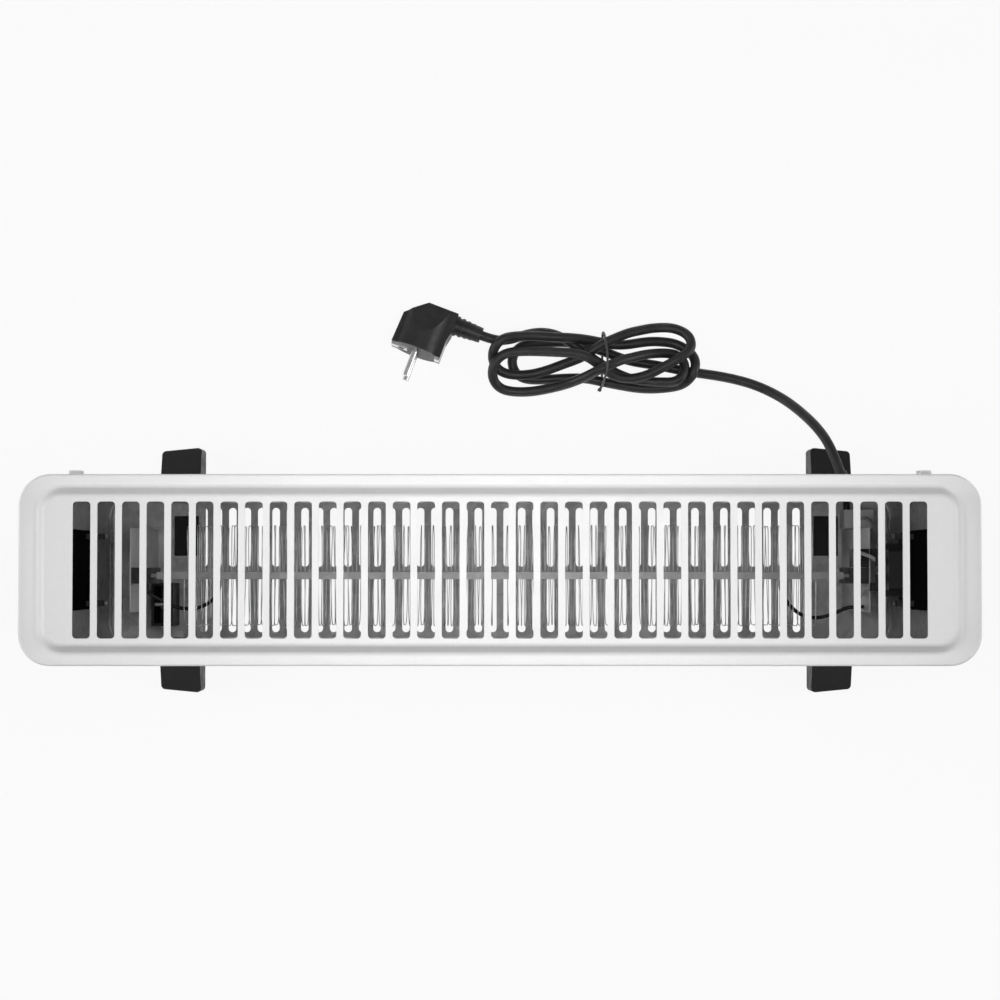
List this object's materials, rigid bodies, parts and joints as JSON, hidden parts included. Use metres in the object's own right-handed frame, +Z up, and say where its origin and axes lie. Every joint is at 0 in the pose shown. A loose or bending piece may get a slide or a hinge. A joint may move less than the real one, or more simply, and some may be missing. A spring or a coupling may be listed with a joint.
{
  "type": "convector heater",
  "caption": "White steel convector heater with a slotted top grille, end hand cups, side controls, black feet and a tied mains cord with an angled plug.",
  "frame": {"origin": "on the floor, under the middle of the casing", "axes": "+X to the end with the controls, +Y to the back, +Z up"},
  "size_m": [0.6, 0.301, 0.385],
  "materials": {
    "white_steel": "satin powder coat",
    "white_plastic": "matt",
    "black_plastic": "fine grain",
    "gloss_black": "gloss",
    "red_lens": "gloss",
    "rubber": "matt",
    "bare_steel": "zinc plated",
    "mica": "matt mica sheet",
    "ceramic": "unglazed",
    "heater_wire": "drawn wire",
    "dark_lead": "satin",
    "grey_lead": "satin",
    "pin_metal": "nickel plated"
  },
  "bodies": {
    "heater": {"bottom_plate": "white_steel", "control_panel": "black_plastic", "cord_hank": "rubber", "cord_tie": "dark_lead", "element_board": "mica", "element_bottom_rail": "bare_steel", "element_studs": "heater_wire", "element_top_rail": "bare_steel", "end_screws": "bare_steel", "foot_pads": "rubber", "foot_screws": "bare_steel", "front_heat_shield": "bare_steel", "front_panel": "white_steel", "front_switch_housing": "black_plastic", "lead_cutout": "grey_lead", "lead_element": "dark_lead", "lead_feed": "grey_lead", "lead_return": "grey_lead", "lead_tilt": "dark_lead", "left_element_holder": "ceramic", "left_end_panel": "white_steel", "left_foot": "black_plastic", "left_hand_cup": "black_plastic", "left_heating_wire": "heater_wire", "left_partition": "bare_steel", "mains_cord": "rubber", "pilot_lamp": "red_lens", "plug_body": "rubber", "plug_boot": "rubber", "plug_clips": "pin_metal", "plug_pins": "pin_metal", "rear_heat_shield": "bare_steel", "rear_panel": "white_steel", "rear_spacers": "white_plastic", "rear_switch_housing": "black_plastic", "right_element_holder": "ceramic", "right_end_panel": "white_steel", "right_foot": "black_plastic", "right_hand_cup": "black_plastic", "right_heating_wire": "heater_wire", "right_partition": "bare_steel", "strain_relief": "rubber", "supply_lead": "dark_lead", "terminal_block": "white_plastic", "thermal_cutout": "black_plastic", "thermostat_body": "black_plastic", "thermostat_nut": "bare_steel", "tilt_case": "black_plastic", "top_grille": "white_steel"},
    "dial": {"thermostat_knob": "black_plastic", "thermostat_spindle": "bare_steel"},
    "front_switch": {"front_rocker": "gloss_black"},
    "rear_switch": {"rear_rocker": "gloss_black"},
    "pendulum": {"tilt_pendulum": "bare_steel"}
  },
  "joints": [
    {"name": "dial_turn", "type": "hinge", "parent": "heater", "child": "dial", "pos_m": [0.2849, 0, 0.238], "axis": [-1, 0, 0], "range_deg": [0, 270]},
    {"name": "front_rocker_tilt", "type": "hinge", "parent": "heater", "child": "front_switch", "pos_m": [0.2844, -0.012, 0.1923], "axis": [0, -1, 0], "range_deg": [0, 20]},
    {"name": "rear_rocker_tilt", "type": "hinge", "parent": "heater", "child": "rear_switch", "pos_m": [0.2844, 0.012, 0.1923], "axis": [0, -1, 0], "range_deg": [0, 20]},
    {"name": "tilt_swing", "type": "hinge", "parent": "heater", "child": "pendulum", "pos_m": [-0.253, -0.0259, 0.0728], "axis": [1, 0, 0], "range_deg": [-25, 25]}
  ]
}
